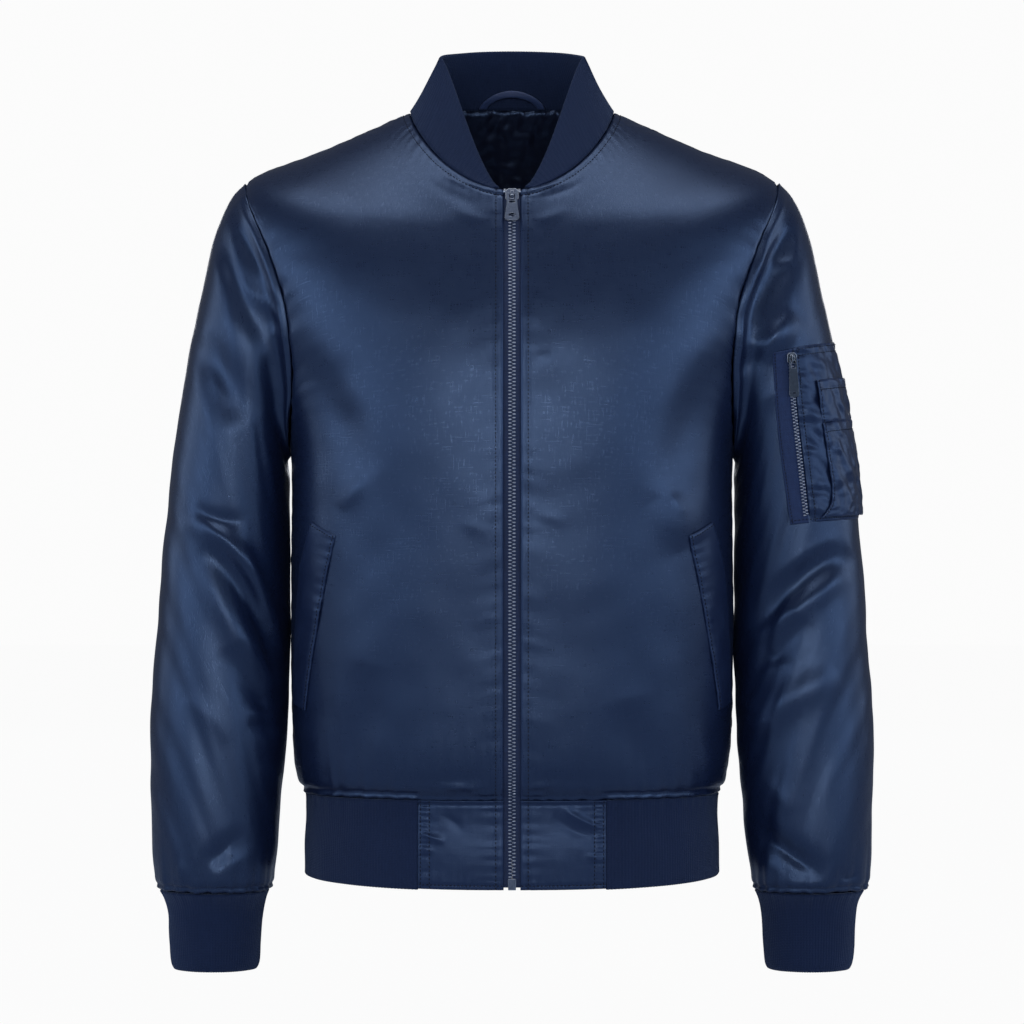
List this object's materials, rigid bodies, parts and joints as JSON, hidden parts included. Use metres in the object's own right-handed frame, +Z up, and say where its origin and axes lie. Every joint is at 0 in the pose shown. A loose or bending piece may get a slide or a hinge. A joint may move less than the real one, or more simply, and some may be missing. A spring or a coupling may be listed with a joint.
{
  "type": "bomber jacket",
  "caption": "Zipped satin bomber jacket in its worn shape, with rib-knit collar, cuffs and hem, slanted hand pockets and a zipped pocket with pen slots on the left sleeve.",
  "frame": {"origin": "on the jacket's middle plane, level with the neck points of the shoulder seams, where the wearer's neck and shoulders hold it", "axes": "+Z up, -Y out of the front, +X to the wearer's left"},
  "size_m": [0.6254, 0.2676, 0.8005],
  "materials": {
    "satin": "navy satin weave with a broad soft shine",
    "lining": "dark navy satin lining",
    "loop_tape": "dark navy woven strap",
    "rib_knit": "matt navy rib knit",
    "zip_tape": "matt navy woven zip tape",
    "pocket_band": "matt navy woven band",
    "zip_metal": "dark plated metal"
  },
  "bodies": {
    "jacket": {"front_left": "satin", "front_right": "satin", "back": "satin", "sleeve_left": "satin", "sleeve_right": "satin", "hem_end_left": "satin", "hem_end_right": "satin", "welt_left": "satin", "welt_right": "satin", "pocket_patch": "satin", "pen_pocket_upper": "satin", "pen_pocket_lower": "satin", "back_lining": "lining", "hanger_loop": "loop_tape", "collar": "rib_knit", "cuff_left": "rib_knit", "cuff_right": "rib_knit", "hem_band": "rib_knit", "zip_tape_left": "zip_tape", "zip_tape_right": "zip_tape", "pocket_tape": "pocket_band", "zip_chain": "zip_metal", "zip_box": "zip_metal", "zip_slider": "zip_metal", "pocket_chain": "zip_metal", "pocket_slider": "zip_metal"},
    "main_pull": {"zip_pull": "zip_metal"},
    "sleeve_pocket_pull": {"pocket_pull": "zip_metal"}
  },
  "joints": [
    {"name": "main_pull_hinge", "type": "hinge", "parent": "jacket", "child": "main_pull", "pos_m": [0, -0.08987, -0.07432], "axis": [-1, 0, 0], "range_deg": [0, 150]},
    {"name": "pocket_pull_hinge", "type": "hinge", "parent": "jacket", "child": "sleeve_pocket_pull", "pos_m": [0.23877, -0.06727, -0.21212], "axis": [-0.958, -0.2802, -0.0611], "range_deg": [0, 150]}
  ]
}
